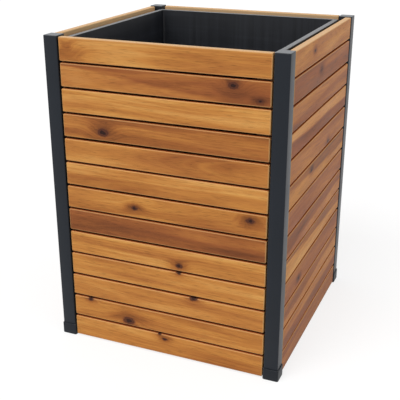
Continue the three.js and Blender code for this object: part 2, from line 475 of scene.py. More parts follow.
# How far tone and blush drift, and how much bands and streaks add to the tone. Each noise
# lies round one half, so together they add about this middle, which is taken off again.
tone_drift, blush_drift = 0.45, 0.9
band_strength, streak_strength, added_middle = 0.95, 0.55, 0.97
# Waves per metre along the grain, away from the pith (or across) and through the board
band_waves = (2.2, 75.0, 4.0)
streak_waves = (6.0, 420.0, 40.0)
pore_waves = (45.0, 900.0, 900.0)
# The line between sapwood and heartwood wavers by this much, and is blurred between these
line_waver, line_blur = 30 * MM, (11 * MM, 19 * MM)


def push_round_knots(tree, tone, radius, knots):
    """The tone and the distance from the pith, both raised near the knots."""
    for distance, _, size in knots:
        square = add(tree, "ShaderNodeMath", (distance, distance), operation="MULTIPLY")
        fall = add(tree, "ShaderNodeMath", (square, -knot_falloff), operation="MULTIPLY")
        swell = add(tree, "ShaderNodeMath", (fall,), operation="EXPONENT")
        push = add(tree, "ShaderNodeMath", (swell, size), operation="MULTIPLY")
        radius = add(tree, "ShaderNodeMath", (push, knot_push, radius), operation="MULTIPLY_ADD")
        tone = add(tree, "ShaderNodeMath", (swell, knot_darkening, tone), operation="MULTIPLY_ADD")
    return tone, radius


def drift_in_patches(tree, tone, blush, grain, board):
    """Tone and blush that drift within a board, in patches of about 200 mm by 25 mm."""
    patches = add(tree, "ShaderNodeVectorMath", (grain, (5.0, 1.0, 40.0)), operation="MULTIPLY")
    drift = add(tree, "ShaderNodeTexNoise", {
        "Vector": patches, "W": board, "Scale": 1.0, "Detail": 2.0,
    }, noise_dimensions="4D").outputs["Color"]
    drift = add(tree, "ShaderNodeSeparateColor", (drift,)).outputs
    tone = add(tree, "ShaderNodeMath", (drift["Red"], tone_drift, tone), operation="MULTIPLY_ADD")
    blush = add(tree, "ShaderNodeMath", (
        drift["Green"], blush_drift, blush,
    ), operation="MULTIPLY_ADD")
    blush = add(tree, "ShaderNodeMath", (blush, blush_drift / 2), operation="SUBTRACT", use_clamp=True)
    return tone, blush


def bands_streaks_pores(tree, place, radius, grain, board):
    """Three noises, each drawn out along the grain."""
    rings = add(tree, "ShaderNodeCombineXYZ", {"X": place["X"], "Y": radius, "Z": place["Y"]})
    layers = []
    for source, waves, detail, rough in (
        (rings, band_waves, 2.5, 0.55), (rings, streak_waves, 3.0, 0.6), (grain, pore_waves, 1.0, 0.5),
    ):
        cells = add(tree, "ShaderNodeVectorMath", (source, waves), operation="MULTIPLY")
        layers.append(add(tree, "ShaderNodeTexNoise", {
            "Vector": cells, "W": board, "Scale": 1.0, "Detail": detail, "Roughness": rough,
        }, noise_dimensions="4D"))
    return layers


def change_above_line(tree, tone, change, line, place, bands):
    """Adds the change above the line between sapwood and heartwood, which wavers with the rings."""
    level = add(tree, "ShaderNodeMath", (place["X"], line["Y"], line["X"]), operation="MULTIPLY_ADD")
    above = add(tree, "ShaderNodeMath", (place["Z"], level), operation="SUBTRACT")
    waver = add(tree, "ShaderNodeMath", (bands, line_waver, above), operation="MULTIPLY_ADD")
    zone = add(tree, "ShaderNodeMapRange", {
        "Value": waver, "From Min": line_blur[0], "From Max": line_blur[1],
    }, interpolation_type="SMOOTHSTEP")
    return add(tree, "ShaderNodeMath", (zone, change, tone), operation="MULTIPLY_ADD")


print("band, streak and pore in mm:", [
    round(1000 / waves[1], 1) for waves in (band_waves, streak_waves, pore_waves)])

# %% [markdown]
# Oiled acacia: colour, wear and surface
#
# Tone picks a colour from a row that runs from pale gold to chocolate. A second row is
# pinker, and each board's blush says how far it lies towards that. The faces then differ:
# the edges are pale, partly from sanding after oiling and partly as a painted highlight,
# the face towards the liner was never oiled, and the narrow faces inside the gaps get
# painted shade, brown and then near black, except on the wall's top, which sun and rain
# have bleached. Oil gives a satin surface: the roughness is near 0.54, lower in the hard
# dark streaks, and the soft oil film mirrors less than bare resin would.

# %% Colour the wood
def shade_of_wood(tree, depth, gold, blush, share):
    """The colour at that depth of tone, by share between the gold row and the blush row."""
    ramps = []
    for row in (gold, blush):
        ramp = add(tree, "ShaderNodeValToRGB", (depth,))
        for number, colour in enumerate(row):
            if number > 1:
                ramp.color_ramp.elements.new(0.5)
            ramp.color_ramp.elements[number].position = number / (len(row) - 1)
            ramp.color_ramp.elements[number].color = linear(colour)
        ramps.append(ramp)
    return add(tree, "ShaderNodeMix", {0: share, 6: ramps[0], 7: ramps[1]}, data_type="RGBA")


# A knot is darkest at its heart and pales outwards by so much a radius. Rings of its own
# show in it faintly. Their number is in radians a radius.
heart_shade, knot_paling = -0.1, 0.75
knot_rings, ring_contrast = 15.0, 0.12
# It covers this much of the wood, and fades out between these distances in radii
knot_cover, knot_edge = 0.95, (0.65, 1.2)


def draw_knots(tree, colour, knots):
    """Lays a dark core with rings of its own over the wood at each knot."""
    for distance, shows, _ in knots:
        rings = add(tree, "ShaderNodeMath", (distance, knot_rings), operation="MULTIPLY")
        rings = add(tree, "ShaderNodeMath", (rings,), operation="SINE")
        paler = add(tree, "ShaderNodeMath", (
            distance, knot_paling, heart_shade,
        ), operation="MULTIPLY_ADD")
        paler = add(tree, "ShaderNodeMath", (rings, ring_contrast, paler), operation="MULTIPLY_ADD")
        core = add(tree, "ShaderNodeMix", {
            0: paler, 6: linear("#150a0e"), 7: linear("#7c452c"),
        }, data_type="RGBA")
        inside = add(tree, "ShaderNodeMapRange", {
            "Value": distance, "From Min": knot_edge[0], "From Max": knot_edge[1],
            "To Min": knot_cover, "To Max": 0.0,
        }, interpolation_type="SMOOTHSTEP")
        inside = add(tree, "ShaderNodeMath", (inside, shows), operation="MULTIPLY")
        colour = add(tree, "ShaderNodeMix", {0: inside, 6: colour, 7: core}, data_type="RGBA")
    return colour


print("a knot has about", round(knot_rings / math.tau, 1), "rings from its heart to its edge")

# %% Wear a slat's faces, and paint highlight on its edges and shade in its gaps
# How far inside a slat's edge the narrow faces and the pale edge (sanding and painted highlight) begin,
# and where they're full
narrow_zone, pale_edge_zone = (1.2 * MM, 0.3 * MM), (2.4 * MM, 0.6 * MM)
# Through the slat, from the outer face (minus) to the inner one: where the painted shade in
# the gaps sets in, where it turns from brown to black, and where the oil ends
gap_shade_zone, black_zone, unoiled_zone = (-6.4 * MM, -5 * MM), (-4.6 * MM, 2 * MM), (5 * MM, 6.5 * MM)
pale_edge_share, bleached_share, gap_shade_share, unoiled_share = 0.6, 0.7, 0.9, 0.75


def wear_faces(tree, colour, place, top_board, half_length, half_height):
    """The colour after the pale edge, bleaching and painted shade in the gaps, and how much painted
    shade there is.
    """
    side = add(tree, "ShaderNodeMath", (place["Z"],), operation="ABSOLUTE")
    end = add(tree, "ShaderNodeMath", (place["X"],), operation="ABSOLUTE")
    end = add(tree, "ShaderNodeMath", (end, half_length - half_height), operation="SUBTRACT")
    edge = add(tree, "ShaderNodeMath", (side, end), operation="MAXIMUM")
    narrow = add(tree, "ShaderNodeMapRange", {
        "Value": side, "From Min": half_height - narrow_zone[0],
        "From Max": half_height - narrow_zone[1],
    })
    upper = add(tree, "ShaderNodeMath", (place["Z"], 0.0), operation="GREATER_THAN")
    open_top = add(tree, "ShaderNodeMath", (upper, top_board), operation="MULTIPLY")

    unoiled = add(tree, "ShaderNodeMapRange", {
        "Value": place["Y"], "From Min": unoiled_zone[0], "From Max": unoiled_zone[1],
        "To Max": unoiled_share,
    })
    # The pale edge is partly sanded wood and partly a painted highlight on the eased edges.
    pale_edge = add(tree, "ShaderNodeMapRange", {
        "Value": edge, "From Min": half_height - pale_edge_zone[0],
        "From Max": half_height - pale_edge_zone[1], "To Max": pale_edge_share,
    })
    bleached = add(tree, "ShaderNodeMath", (open_top, narrow), operation="MULTIPLY")
    bleached = add(tree, "ShaderNodeMath", (bleached, bleached_share), operation="MULTIPLY")
    # dcae74 is the pale edge colour: sanded wood and painted highlight together.
    for share, shade in ((unoiled, "#d9b98e"), (pale_edge, "#dcae74"), (bleached, "#d6b084")):
        colour = add(tree, "ShaderNodeMix", {0: share, 6: colour, 7: linear(shade)}, data_type="RGBA")

    # Painted shade: the narrow faces inside the gaps turn brown and then near black towards the inside,
    # where little light gets in.
    inward = add(tree, "ShaderNodeMapRange", {
        "Value": place["Y"], "From Min": gap_shade_zone[0], "From Max": gap_shade_zone[1],
        "To Max": gap_shade_share,
    })
    hidden = add(tree, "ShaderNodeMath", (1.0, open_top), operation="SUBTRACT")
    gap_shade = add(tree, "ShaderNodeMath", (narrow, inward), operation="MULTIPLY")
    gap_shade = add(tree, "ShaderNodeMath", (gap_shade, hidden), operation="MULTIPLY")
    deep = add(tree, "ShaderNodeMapRange", {
        "Value": place["Y"], "From Min": black_zone[0], "From Max": black_zone[1],
    })
    gap_shade_colour = add(tree, "ShaderNodeMix", {
        0: deep, 6: linear("#a5470f"), 7: linear("#1c0500"),
    }, data_type="RGBA")
    return add(tree, "ShaderNodeMix", {0: gap_shade, 6: colour, 7: gap_shade_colour}, data_type="RGBA"), gap_shade


print("the narrow faces begin", round(slat_height / 2 / MM, 2), "mm from a slat's middle")

# %% Make the wood material
# Pores open where their noise passes the first of these, and leave this share of the colour.
# Under that the same noise mottles the wood, from a little paler to a little darker.
pore_edge, pore_shade, mottle_shades = (0.60, 0.72), 0.68, (1.06, 0.92)


def timber(name, gold, blush, roughness, relief, slat_halves=None):
    """Wood in two rows of colours. Slat halves are half the length and height of a worn slat."""
    material, tree = new_material(name)
    grain = add(tree, "ShaderNodeAttribute", attribute_name="grain").outputs["Vector"]
    board = add(tree, "ShaderNodeAttribute", attribute_name="board").outputs["Fac"]
    look, line = three_numbers(tree, "look"), three_numbers(tree, "line")
    place = add(tree, "ShaderNodeSeparateXYZ", (grain,)).outputs
    knots = [knot_distance(tree, grain, attribute) for attribute in ("knot_1", "knot_2")]

    tone, radius = push_round_knots(tree, look["X"], log_radius(tree, grain, board), knots)
    tone, pink = drift_in_patches(tree, tone, look["Y"], grain, board)
    bands, streaks, fine = bands_streaks_pores(tree, place, radius, grain, board)
    tone = change_above_line(tree, tone, look["Z"], line, place, bands)
    depth = add(tree, "ShaderNodeMath", (bands, band_strength, tone), operation="MULTIPLY_ADD")
    depth = add(tree, "ShaderNodeMath", (streaks, streak_strength, depth), operation="MULTIPLY_ADD")
    depth = add(tree, "ShaderNodeMath", (depth, added_middle), operation="SUBTRACT")
    colour = shade_of_wood(tree, depth, gold, blush, pink)

    pores = add(tree, "ShaderNodeMapRange", {
        "Value": fine, "From Min": pore_edge[0], "From Max": pore_edge[1],
        "To Min": 1.0, "To Max": pore_shade,
    })
    mottle = add(tree, "ShaderNodeMapRange", {
        "Value": fine, **noise_span, "To Min": mottle_shades[0], "To Max": mottle_shades[1],
    })
    shade = add(tree, "ShaderNodeMath", (pores, mottle), operation="MULTIPLY")
    colour = add(tree, "ShaderNodeVectorMath", {0: colour, "Scale": shade}, operation="SCALE")
    gloss = add(tree, "ShaderNodeMapRange", {
        "Value": streaks, **noise_span, "To Min": roughness + 0.05, "To Max": roughness - 0.07,
    })
    if slat_halves:
        # Pale edges, bleaching and painted shade in the gaps. The painted shade also raises the
        # roughness there.
        colour, gap_shade = wear_faces(tree, colour, place, line["Z"], *slat_halves)
        gloss = add(tree, "ShaderNodeMath", (
            gap_shade, 0.5, gloss,
        ), operation="MULTIPLY_ADD", use_clamp=True)
    height = add(tree, "ShaderNodeMath", (pores, 0.8, streaks), operation="MULTIPLY_ADD")
    bump = add(tree, "ShaderNodeBump", {"Height": height, "Strength": relief, "Distance": 0.3 * MM})
    shader = add(tree, "ShaderNodeBsdfPrincipled", {
        "Base Color": draw_knots(tree, colour, knots), "Roughness": gloss, "Normal": bump,
        "Specular IOR Level": 0.15,
    })
    add(tree, "ShaderNodeOutputMaterial", {"Surface": shader})
    return material


acacia = timber(
    "oiled_acacia",
    gold=("#d49e56", "#bd7f3c", "#9f612c", "#763c1b", "#442011"),
    blush=("#c2854e", "#a56334", "#86482b", "#5e3023", "#3a1d16"),
    roughness=0.54, relief=0.4, slat_halves=(slat_length / 2, slat_height / 2),
)
print("acacia nodes:", len(acacia.node_tree.nodes))

# %% [markdown]
# One look for each board
#
# A buyer sees boards, not a texture: one is pale gold, the next red-brown, and a third has
# a dark knot near its end. Chance alone could choose all of that, but then no wall would be
# the one in front of us. So each board in sight gets its own few numbers, chosen from the
# real one. Tone runs from 0 for pale gold to 1 for chocolate, and blush from gold to pink.
# Change is added to the tone above a line across the board, which has a level in
# millimetres and a lean. The walls out of sight get boards drawn at random with a fixed
# seed.

# %% Describe the boards
slat_count = sum(name.startswith("front_slat_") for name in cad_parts)
# Tone, blush, change, level, lean, from the top slat down
front_boards = (
    (0.28, 0.15, 0.00, 0, 0.00),
    (0.24, 0.50, 0.22, -4, -0.12),
    (0.21, 0.05, 0.00, 0, 0.00),
    (0.46, 0.25, 0.00, 0, 0.00),
    (0.33, 0.25, 0.00, 0, 0.00),
    (0.40, 0.15, -0.26, 2, 0.00),
    (0.39, 0.10, 0.00, 0, 0.00),
    (0.57, 0.55, -0.16, 3, -0.05),
    (0.26, 0.05, 0.00, 0, 0.00),
    (0.26, 0.05, 0.00, 0, 0.00),
    (0.28, 0.10, 0.00, 0, 0.00),
    (0.31, 0.05, 0.00, 0, 0.00),
    (0.31, 0.05, 0.00, 0, 0.00),
)
right_boards = (
    (0.28, 0.45, 0.00, 0, 0.00),
    (0.50, 0.65, 0.00, 0, 0.00),
    (0.47, 0.55, -0.22, 4, 0.04),
    (0.66, 0.75, -0.56, 1, -0.02),
    (0.34, 0.50, 0.00, 0, 0.00),
    (0.30, 0.20, 0.28, 2, -0.05),
    (0.42, 0.65, 0.00, 0, 0.00),
    (0.30, 0.55, 0.28, -4, 0.03),
    (0.22, 0.25, 0.36, 5, -0.05),
    (0.48, 0.60, 0.00, 0, 0.00),
    (0.26, 0.40, 0.28, 0, 0.04),
    (0.54, 0.55, -0.26, 3, 0.00),
    (0.42, 0.50, 0.00, 0, 0.00),
)
# Board number: millimetres along and above the middle, radius. A negative radius is a knot
# just under the surface, which only darkens the wood.
knots_seen = {
    0: ((-200, -2, -9),),
    1: ((145, 11, 8), (197, -13, 4)),
    3: ((-127, -6, 9.5),),
    6: ((-63, -3, 5.5), (184, 9, 6.5)),
    8: ((34, -12, 6),),
    9: ((34, 23, 4),),
    10: ((66, 22, 6),),
    11: ((-85, -12, 10), (-177, 21, 5)),
    12: ((0, 13, 4), (-12, 23, 3)),
    13: ((-85, 2, 4),),
    14: ((-25, 4, -5),),
    17: ((65, -16, 5),),
    18: ((-62, 9, 4.5),),
    22: ((-120, -5, 5),),
}
print("boards described:", len(front_boards) + len(right_boards), "of", 4 * slat_count)

# %% Draw the other boards by chance, and store every board's look
# Where a knot lies along and above a board's middle, and its radius, in millimetres
knot_spans = ((-200, 200), (-16, 16), (3, 7))


def random_boards(chance, first, count, knots):
    """Looks for unseen boards, and about one knot in every other board."""
    for number in range(first, first + count):
        knots[number] = tuple(
            tuple(chance.uniform(*span) for span in knot_spans)
            for _ in range(2) if chance.random() < 0.3
        )
    return [
        (chance.uniform(0.2, 0.55), chance.uniform(0, 0.7), chance.choice((0, 0, -0.2, 0.2)),
         chance.uniform(-8, 8), chance.uniform(-0.08, 0.08))
        for _ in range(count)
    ]


def dress_boards(piece, first, boards, knots):
    """Stores on each point the look and the knots of the board it belongs to."""
    points = len(piece.data.vertices)
    numbers = [0.0] * points
    piece.data.attributes["board"].data.foreach_get("value", numbers)
    nowhere = (0, 0, 0)
    table = {"look": [], "line": [], "knot_1": [], "knot_2": []}
    for number in map(round, numbers):
        tone, blush, change, level, lean = boards[number - first]
        own = tuple(knots.get(number, ())) + (nowhere, nowhere)
        table["look"] += (tone, blush, change)
        table["line"] += (level * MM, lean, float(number % slat_count == 0))
        table["knot_1"] += [c * MM for c in own[0]]
        table["knot_2"] += [c * MM for c in own[1]]
    for name, values in table.items():
        stored = piece.data.attributes.new(name, "FLOAT_VECTOR", "POINT")
        stored.data.foreach_set("vector", values)


chance = random.Random(7)
back_boards = random_boards(chance, 2 * slat_count, slat_count, knots_seen)
left_boards = random_boards(chance, 3 * slat_count, slat_count, knots_seen)
print("boards with a knot:", sum(map(bool, knots_seen.values())))

# %% Screw on the slats
def lay_boards(name, blank, finish, nodes, boards, first, turn, start, step,
               seed=0, play=0.0, bow=0.0):
    """A row of boards on the frame, numbered from the first, that stands for measured nodes."""
    piece = run_tree(name, rows, {
        "Blank": blank, "Count": len(boards), "Start": start, "Step": step,
        "Turn": math.radians(turn), "First": first, "Seed": seed, "Play": play, "Bow": bow,
        "Finish": finish,
    })
    dress_boards(piece, first, boards, knots_seen)
    seat(piece, "frame", nodes)


# Side, turn from the front in degrees, boards, and the measured nodes that the row stands for
walls = (
    ("front", 0, front_boards, [f"front_slat_{n:02d}" for n in range(1, slat_count + 1)]),
    ("right", 90, right_boards, [f"right_slat_{n:02d}" for n in range(1, slat_count + 1)]),
    ("back", 180, back_boards, ["back_panel"]),
    ("left", 270, left_boards, ["left_panel"]),
)
for place, (side, turn, boards, nodes) in enumerate(walls):
    lay_boards(
        f"{side}_slats", slat_blank, acacia, nodes, boards,
        first=place * slat_count, turn=turn, start=slat_start, step=(0.0, 0.0, -slat_pitch),
        seed=place, play=0.4 * MM, bow=0.9 * MM)
bpy.data.objects.remove(slat_blank)

# %% [markdown]
# The battens
#
# Three upright battens behind each wall hold its slats, one beside each post and one in
# the middle. They show as brown glimpses in the gaps. The real ones are sawn from the same
# timber and were only dipped in oil, so they are darker and duller than the slats. The same
# function lays them, with a blank that stands upright, and without play, because the slats
# are screwed to them.

# %% Stand up the battens
sawn = timber(
    "sawn_acacia",
    gold=("#b98a5a", "#a3744a", "#8a5c3a", "#6e452c", "#4b2f20"),
    blush=("#a98065", "#8f6650", "#785142", "#5d3c32", "#422a24"),
    roughness=0.72, relief=0.9,
)
batten_low, batten_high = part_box("front_batten_left")
batten_size = batten_high - batten_low
batten_start = tuple((batten_low + batten_high) / 2)
batten_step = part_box("front_batten_middle")[0].x - batten_low.x
battens_per_wall = 3
upright = Matrix.Rotation(math.radians(-90), 4, "Y")
batten_blank = wood_blank(
    "batten_blank", batten_size.z, batten_size.y, batten_size.x, edge_radius=1.0 * MM, turned=upright)
# The back and left panels are one measured node each, slats and battens together
batten_nodes = {
    "front": [f"front_batten_{place}" for place in ("left", "middle", "right")],
    "right": [f"right_batten_{place}" for place in ("front", "middle", "back")],
}
first = len(walls) * slat_count
for side, turn, _, panel in walls:
    lay_boards(
        f"{side}_battens", batten_blank, sawn, batten_nodes.get(side, panel),
        random_boards(chance, first, battens_per_wall, knots_seen),
        first=first, turn=turn, start=batten_start, step=(batten_step, 0.0, 0.0))
    first += battens_per_wall
bpy.data.objects.remove(batten_blank)

# %% [markdown]
# Square loops
#
# Posts, caps, feet and liner are all square with rounded corners, and differ in how their
# width changes with height. Boxes with a bevel would each need their own recipe. Instead
# each is drawn as a short path of corners, given by half the width, the corner radius and
# the height. Every corner of the path gets a small rounding of its own, because a moulded
# or rolled edge is never sharp, and then a skin is laid through square loops along the
# path.

# %% Lay skins through square loops
def eased(corners, closed):
    """The path with each corner rounded. A corner is half width, corner radius, height, easing."""
    path = []
    for number, corner in enumerate(corners):
        here = Vector(corner[:3])
        before = Vector(corners[number - 1][:3])
        after = Vector(corners[(number + 1) % len(corners)][:3])
        if corner[3] == 0 or (not closed and number in (0, len(corners) - 1)):
            path.append(here)
            continue
        start = here + (before - here).normalized() * corner[3]
        end = here + (after - here).normalized() * corner[3]
        for step in range(4):
            share = step / 3
            path.append(start.lerp(here, share).lerp(here.lerp(end, share), share))
    return path


def square_loop(half, radius, height, steps=5):
    """Points round a square with rounded corners, against the clock as seen from above."""
    points = []
    for x, y, first_angle in ((1, 1, 0), (-1, 1, 90), (-1, -1, 180), (1, -1, 270)):
        for step in range(steps + 1):
            angle = math.radians(first_angle + 90 * step / steps)
            points.append((
                x * (half - radius) + radius * math.cos(angle),
                y * (half - radius) + radius * math.sin(angle),
                height,
            ))
    return points


def skin(name, loops, closed=False):
    """A closed mesh through loops of equal length. Its ends are capped, or joined if closed."""
    bm = bmesh.new()
    rings = [[bm.verts.new(point) for point in loop] for loop in loops]
    pairs = list(zip(rings, rings[1:])) + ([(rings[-1], rings[0])] if closed else [])
    for lower, upper in pairs:
        for here in range(len(lower)):
            there = (here + 1) % len(lower)
            bm.faces.new((lower[here], lower[there], upper[there], upper[here]))
    if not closed:
        bm.faces.new(list(reversed(rings[0])))
        bm.faces.new(rings[-1])
    bmesh.ops.recalc_face_normals(bm, faces=bm.faces)
    for face in bm.faces:
        face.smooth = True
    data = mesh_from(bm, name)
    data.set_sharp_from_angle(angle=sharp_from)
    return bpy.data.objects.new(name, data)


def square_skin(name, corners, closed=False):
    """A skin through square loops. The corners are in millimetres."""
    loops = [square_loop(*(measure * MM for measure in corner)) for corner in eased(corners, closed)]
    return skin(name, loops, closed)


print("a loop has", len(square_loop(1, 0.1, 0)), "points")

# %% [markdown]
# Powder-coated steel and moulded plastic
#
# The posts are square steel tube and the base rails are steel bars, with a baked powder
# coat in anthracite. The powder melts into a skin about 0.08 mm thick with a fine orange
# peel, so it isn't a metal to the eye but a satin paint: dark seen straight on and paler at
# a grazing angle. The peel is about 1 mm across, and handling leaves faint cloudy patches.
# Caps and feet are polypropylene from a mould with a fine grain. The real grain is about
# 0.2 mm across. It is drawn at 0.7 mm, or it wouldn't show. Faces that look up are painted
# pale grey as a painted sheen, strongly on the caps, thinly on the ledge of each foot and a
# little on the steel.

# %% Mix powder coat and moulded plastic
def facing_up(tree):
    """How far the surface faces up: 1 on a level top, 0 on an upright wall."""
    normal = add(tree, "ShaderNodeNewGeometry").outputs["Normal"]
    return add(tree, "ShaderNodeSeparateXYZ", (normal,)).outputs["Z"]


def coating(name, colour, roughness, grit, relief, clouds, top_sheen, glare):
    """A dark, slightly uneven skin. Grit is the size of its texture in metres.

    Glare tints what the skin reflects straight on. At a grazing angle it stays white.
    """
    material, tree = new_material(name)
    place = add(tree, "ShaderNodeTexCoord").outputs["Object"]
    cloud = add(tree, "ShaderNodeTexNoise", {
        "Vector": place, "Scale": 11.0, "Detail": 4.0, "Roughness": 0.6,
    })
    peel = add(tree, "ShaderNodeTexNoise", {"Vector": place, "Scale": 1 / grit, "Detail": 1.0})
    shade = add(tree, "ShaderNodeMapRange", {
        "Value": cloud, **noise_span, "To Min": 1 - clouds, "To Max": 1 + clouds,
    })
    speck = add(tree, "ShaderNodeMapRange", {
        "Value": peel, "From Min": 0.35, "From Max": 0.65, "To Min": 0.92, "To Max": 1.08,
    })
    shade = add(tree, "ShaderNodeMath", (shade, speck), operation="MULTIPLY")
    tint = add(tree, "ShaderNodeVectorMath", {0: linear(colour)[:3], "Scale": shade}, operation="SCALE")
    # Painted sheen: faces that look up are mixed towards pale grey, as if light glanced off them.
    sheen_share = add(tree, "ShaderNodeMapRange", {
        "Value": facing_up(tree), "From Min": 0.5, "From Max": 1.0, "To Max": top_sheen,
    })
    sheen_share = add(tree, "ShaderNodeMath", (sheen_share, shade), operation="MULTIPLY")
    tint = add(tree, "ShaderNodeMix", {0: sheen_share, 6: tint, 7: linear("#8f9296")}, data_type="RGBA")
    gloss = add(tree, "ShaderNodeMapRange", {
        "Value": cloud, **noise_span, "To Min": roughness - 0.05, "To Max": roughness + 0.05,
    })
    bump = add(tree, "ShaderNodeBump", {"Height": peel, "Strength": relief, "Distance": 0.05 * MM})
    shader = add(tree, "ShaderNodeBsdfPrincipled", {
        "Base Color": tint, "Roughness": gloss, "Normal": bump, "Specular Tint": linear(glare),
    })
    add(tree, "ShaderNodeOutputMaterial", {"Surface": shader})
    return material


# Top sheen is a painted sheen on the faces that look up.
powder_coat = coating(
    "anthracite_powder_coat", "#161a1f", roughness=0.42, grit=1.1 * MM, relief=0.5,
    clouds=0.12, top_sheen=0.1, glare="#b4b9c4")
cap_plastic = coating(
    "moulded_cap_polypropylene", "#24272b", roughness=0.5, grit=0.7 * MM, relief=0.7,
    clouds=0.10, top_sheen=0.55, glare="#d8dade")
foot_plastic = coating(
    "moulded_foot_polypropylene", "#14171b", roughness=0.5, grit=0.7 * MM, relief=0.7,
    clouds=0.10, top_sheen=0.2, glare="#b4b9c4")
print("coatings:", [finish.name for finish in (powder_coat, cap_plastic, foot_plastic)])

# %% [markdown]
# Corners: one tree for posts, caps and feet
#
# Each corner has the same three parts: a tube, a cap that is a plug with a flat head, and a
# foot that is a cup for the tube to stand in. Mirroring one corner would turn its shapes
# inside out. So each part is made once at the origin, and a second tree puts it on the four
# corners of a square, each copy turned by a quarter more.

# %% Build the corner tree
def quarter_turns(tree):
    """A turn about the vertical that grows by a quarter from each point to the next."""
    index = add(tree, "GeometryNodeInputIndex")
    quarter = add(tree, "ShaderNodeMath", (index, math.pi / 2), operation="MULTIPLY")
    return add(tree, "ShaderNodeCombineXYZ", {"Z": quarter})


def corner_tree():
    tree, given = new_tree("four_corners", Blank="Object", Reach="Float", Finish="Material")
    across = add(tree, "ShaderNodeMath", (given["Reach"], math.sqrt(2)), operation="MULTIPLY")
    square = add(tree, "GeometryNodeMeshCircle", {"Vertices": 4, "Radius": across})
    square = add(tree, "GeometryNodeTransform", {
        "Geometry": square, "Rotation": (0, 0, math.radians(45)),
    })
    blank = add(tree, "GeometryNodeObjectInfo", {"Object": given["Blank"]}).outputs["Geometry"]
    copies = add(tree, "GeometryNodeInstanceOnPoints", {
        "Points": square, "Instance": blank, "Rotation": quarter_turns(tree),
    })
    return close_tree(tree, copies, given["Finish"])


corners = corner_tree()
print("inputs:", [item.name for item in corners.interface.items_tree])

# %% Measure the corners, in millimetres
post_bottom, post_top = post_low.z / MM, post_high.z / MM
post_half = (post_high.x - post_low.x) / 2 / MM
post_wall, post_corner, plastic_fit = 1.5, 2.0, 0.3
cap_low, cap_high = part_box("post_cap_front_right")
stem_bottom, head_top = cap_low.z / MM, cap_high.z / MM
stem_half = post_half - post_wall - plastic_fit
foot_low, foot_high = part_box("foot_front_right")
foot_half, foot_top = (foot_high.x - foot_low.x) / 2 / MM, foot_high.z / MM
print("half widths of post, stem and foot:", [round(h, 1) for h in (post_half, stem_half, foot_half)])

# %% Set the corners
post_blank = square_skin("post_blank", (
    (post_half, post_corner, post_bottom, 0.4),
    (post_half, post_corner, post_top, 0.4),
    (post_half - post_wall, post_corner - post_wall, post_top, 0.4),
    (post_half - post_wall, post_corner - post_wall, post_bottom, 0.4),
), closed=True)
cap_blank = square_skin("cap_blank", (
    (stem_half - 1.0, 0.2, stem_bottom, 0),
    (stem_half, 0.4, stem_bottom + 2.0, 0.5),
    (stem_half, 0.4, post_top, 0),
    (post_half, post_corner, post_top, 0),
    (post_half, post_corner, head_top - 0.3, 0.9),
    (post_half - 3.0, post_corner / 2, head_top, 1.0),
    (0.5 * post_half, post_corner / 2, head_top, 0),
))
foot_blank = square_skin("foot_blank", (
    (0.8 * foot_half, 3.0, 0.0, 0),
    (foot_half, 3.5, 0.0, 1.2),
    (foot_half, 3.5, foot_top, 0.7),
    (post_half + plastic_fit, post_corner, foot_top, 0.4),
    (post_half + plastic_fit, post_corner, post_bottom, 0),
    (0.8 * post_half, post_corner, post_bottom, 0),
))
corner_names = [f"{y}_{x}" for y in ("front", "back") for x in ("left", "right")]
for name, node, blank, finish, slot in (
    ("four_posts", "post", post_blank, powder_coat, "coated_steel"),
    ("four_caps", "post_cap", cap_blank, cap_plastic, "moulded_plastic"),
    ("four_feet", "foot", foot_blank, foot_plastic, "moulded_plastic"),
):
    piece = run_tree(name, corners, {"Blank": blank, "Reach": post_reach, "Finish": finish})
    seat(piece, "frame", [f"{node}_{corner}" for corner in corner_names])
    bpy.data.objects.remove(blank)

# %% [markdown]
# Screws
#
# The slats hang on screws driven from inside, two through each crossing of batten and
# slat, so none shows from outside. Each pair stands on a slant, so that the two don't split
# the batten along one line of its grain. The lowest slat is left out, because a base rail
# covers its screws. They are zinc-plated pan heads with a cross recess. With hundreds of
# them, a head has only some fifty faces, just enough for its dome and its cross.

# %% Make one screw head
def screw_head(radius, height):
    """A low pan head that faces +Y, with a cross recess, from loops of twelve points."""
    arm, half_slot = 0.62 * radius, 0.17 * radius

    def circle(size, rise):
        angles = [math.radians(360 * (step + 0.5) / 12) for step in range(12)]
        return [(size * math.cos(a), size * math.sin(a), rise) for a in angles]

    def cross(share, rise):
        points = []
        for turn in range(4):
            spin = Matrix.Rotation(math.radians(90 * turn), 3, "Z")
            for x, y in ((arm, half_slot), (half_slot, half_slot), (half_slot, arm)):
                points.append(spin @ Vector((x * share, y * share, rise)))
        return points

    head = skin("screw_head", [
        circle(radius, -0.5 * MM), circle(radius, 0.45 * height), circle(0.75 * radius, height),
        cross(1.0, height), cross(0.7, 0.25 * height),
    ])
    head.data.transform(Matrix.Rotation(math.radians(-90), 4, "X"))
    return head


def zinc(name):
    """Zinc plate: a bluish grey metal, brushed dull by its thin passivated layer."""
    material, tree = new_material(name)
    place = add(tree, "ShaderNodeTexCoord").outputs["Object"]
    cloud = add(tree, "ShaderNodeTexNoise", {"Vector": place, "Scale": 400.0, "Detail": 3.0})
    tint = add(tree, "ShaderNodeValToRGB", (cloud,))
    tint.color_ramp.elements[0].color = linear("#8e8f8c")
    tint.color_ramp.elements[1].color = linear("#c6c7c4")
    gloss = add(tree, "ShaderNodeMapRange", {"Value": cloud, "To Min": 0.25, "To Max": 0.5})
    shader = add(tree, "ShaderNodeBsdfPrincipled", {
        "Base Color": tint, "Roughness": gloss, "Metallic": 1.0,
    })
    add(tree, "ShaderNodeOutputMaterial", {"Surface": shader})
    return material


screw_blank = screw_head(radius=3.4 * MM, height=1.4 * MM)
print("a screw head has", len(screw_blank.data.polygons), "faces")

# %% [markdown]
# The screw grid
#
# The places of the screws are lines within lines: pairs on rows, rows on columns, and the
# whole wall turned to four sides. A mesh line of each kind, set on the points of the next,
# gives them all. Nobody lines screws up by their crosses, so each stops at its own angle,
# which a fixed seed gives.

